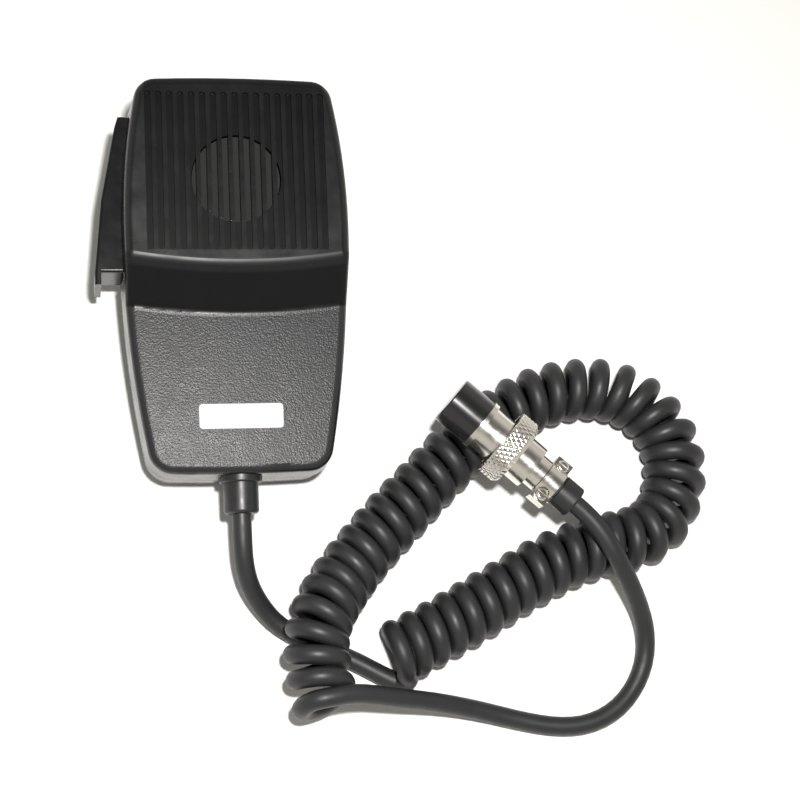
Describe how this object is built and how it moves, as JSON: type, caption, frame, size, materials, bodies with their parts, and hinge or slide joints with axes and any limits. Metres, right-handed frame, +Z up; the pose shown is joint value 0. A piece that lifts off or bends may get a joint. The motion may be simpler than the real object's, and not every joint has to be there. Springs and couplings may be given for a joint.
{
  "type": "hand microphone",
  "caption": "Hand-held dynamic microphone for a mobile two-way radio, with a hinged talk bar, hang-up button, curly cord and locking plug",
  "frame": {"origin": "middle of the bottom of the handset's box, on the surface it lies on; the handset rests on its hang-up button and its lower back edge, face up", "axes": "+X to the handset's right as its face is seen, +Y to its top, +Z up; the cord and plug lie on the same surface towards -Y and +X"},
  "size_m": [0.1606, 0.1677, 0.0422],
  "materials": {
    "case_plastic": "fine-grained black ABS, glossy on its rounded edges and on the step",
    "bar_plastic": "black moulded plastic, satin",
    "cloth": "black acoustic cloth",
    "plate": "blank satin plate with a bright edge",
    "inner_plastic": "dark grey moulded plastic",
    "board": "green glass-fibre board",
    "steel": "zinc-plated steel",
    "spring_steel": "spring steel",
    "aluminium_can": "drawn aluminium can",
    "magnet": "sintered magnet",
    "film": "thin polyester film",
    "contact_brass": "plated brass",
    "cord_jacket": "black cord jacket, satin",
    "relief_rubber": "black moulded rubber",
    "chrome": "bright nickel-chrome plating",
    "gloss_black": "glossy black moulded plastic",
    "wire_red": "red insulation",
    "wire_white": "white insulation",
    "wire_yellow": "yellow insulation",
    "wire_black": "black insulation"
  },
  "bodies": {
    "handset": {"front_shell": "case_plastic", "rear_shell": "case_plastic", "case_screws": "steel", "hang_up_button": "chrome", "button_washer": "steel", "button_screw": "steel", "nameplate": "plate", "grille_cloth": "cloth", "capsule_gasket": "relief_rubber", "capsule_housing": "aluminium_can", "capsule_magnet": "magnet", "capsule_diaphragm": "film", "capsule_bracket": "steel", "bracket_screws": "steel", "pivot_pin": "steel", "return_spring": "spring_steel", "switch_body": "inner_plastic", "switch_terminals": "contact_brass", "circuit_board": "board", "board_screws": "steel", "board_capacitor": "inner_plastic", "board_resistors": "inner_plastic", "strain_relief": "relief_rubber", "cord_inside": "cord_jacket", "cord_clamp": "inner_plastic", "cord_clamp_screws": "steel", "wire_red": "wire_red", "wire_white": "wire_white", "wire_yellow": "wire_yellow", "wire_black": "wire_black", "cord_lead_mic": "cord_jacket", "cord_coil": "cord_jacket", "cord_lead_plug": "cord_jacket", "plug_cap": "gloss_black", "plug_barrel": "chrome", "contact_insert": "inner_plastic", "contact_sockets": "contact_brass", "plug_wires": "wire_white", "plug_backshell": "chrome", "clamp_saddle": "chrome", "saddle_screws": "chrome", "plug_sleeve": "relief_rubber", "plug_cord_end": "cord_jacket"},
    "talk_bar": {"talk_bar": "bar_plastic"},
    "plunger": {"switch_plunger": "inner_plastic"},
    "coupling_ring": {"coupling_ring": "chrome"}
  },
  "joints": [
    {"name": "talk_bar_press", "type": "hinge", "parent": "handset", "child": "talk_bar", "pos_m": [-0.0194, 0.04277, 0.0253], "axis": [0, -0.1104, 0.9939], "range_deg": [0, 5.5], "stiffness_Nm_per_rad": 1, "springref_deg": -5.73, "deforming": ["return_spring"]},
    {"name": "plunger_slide", "type": "slide", "parent": "handset", "child": "plunger", "axis": [1, 0, 0], "range_m": [0, 0.0019]},
    {"name": "coupling_ring_spin", "type": "hinge", "parent": "handset", "child": "coupling_ring", "pos_m": [0.07114, -0.04062, 0.02349], "axis": [-0.7439, 0.6658, 0.0573], "continuous": true}
  ],
  "couplings": [
    {"joint": "plunger_slide", "follows": "talk_bar_press", "m_per_rad": 0.019}
  ]
}
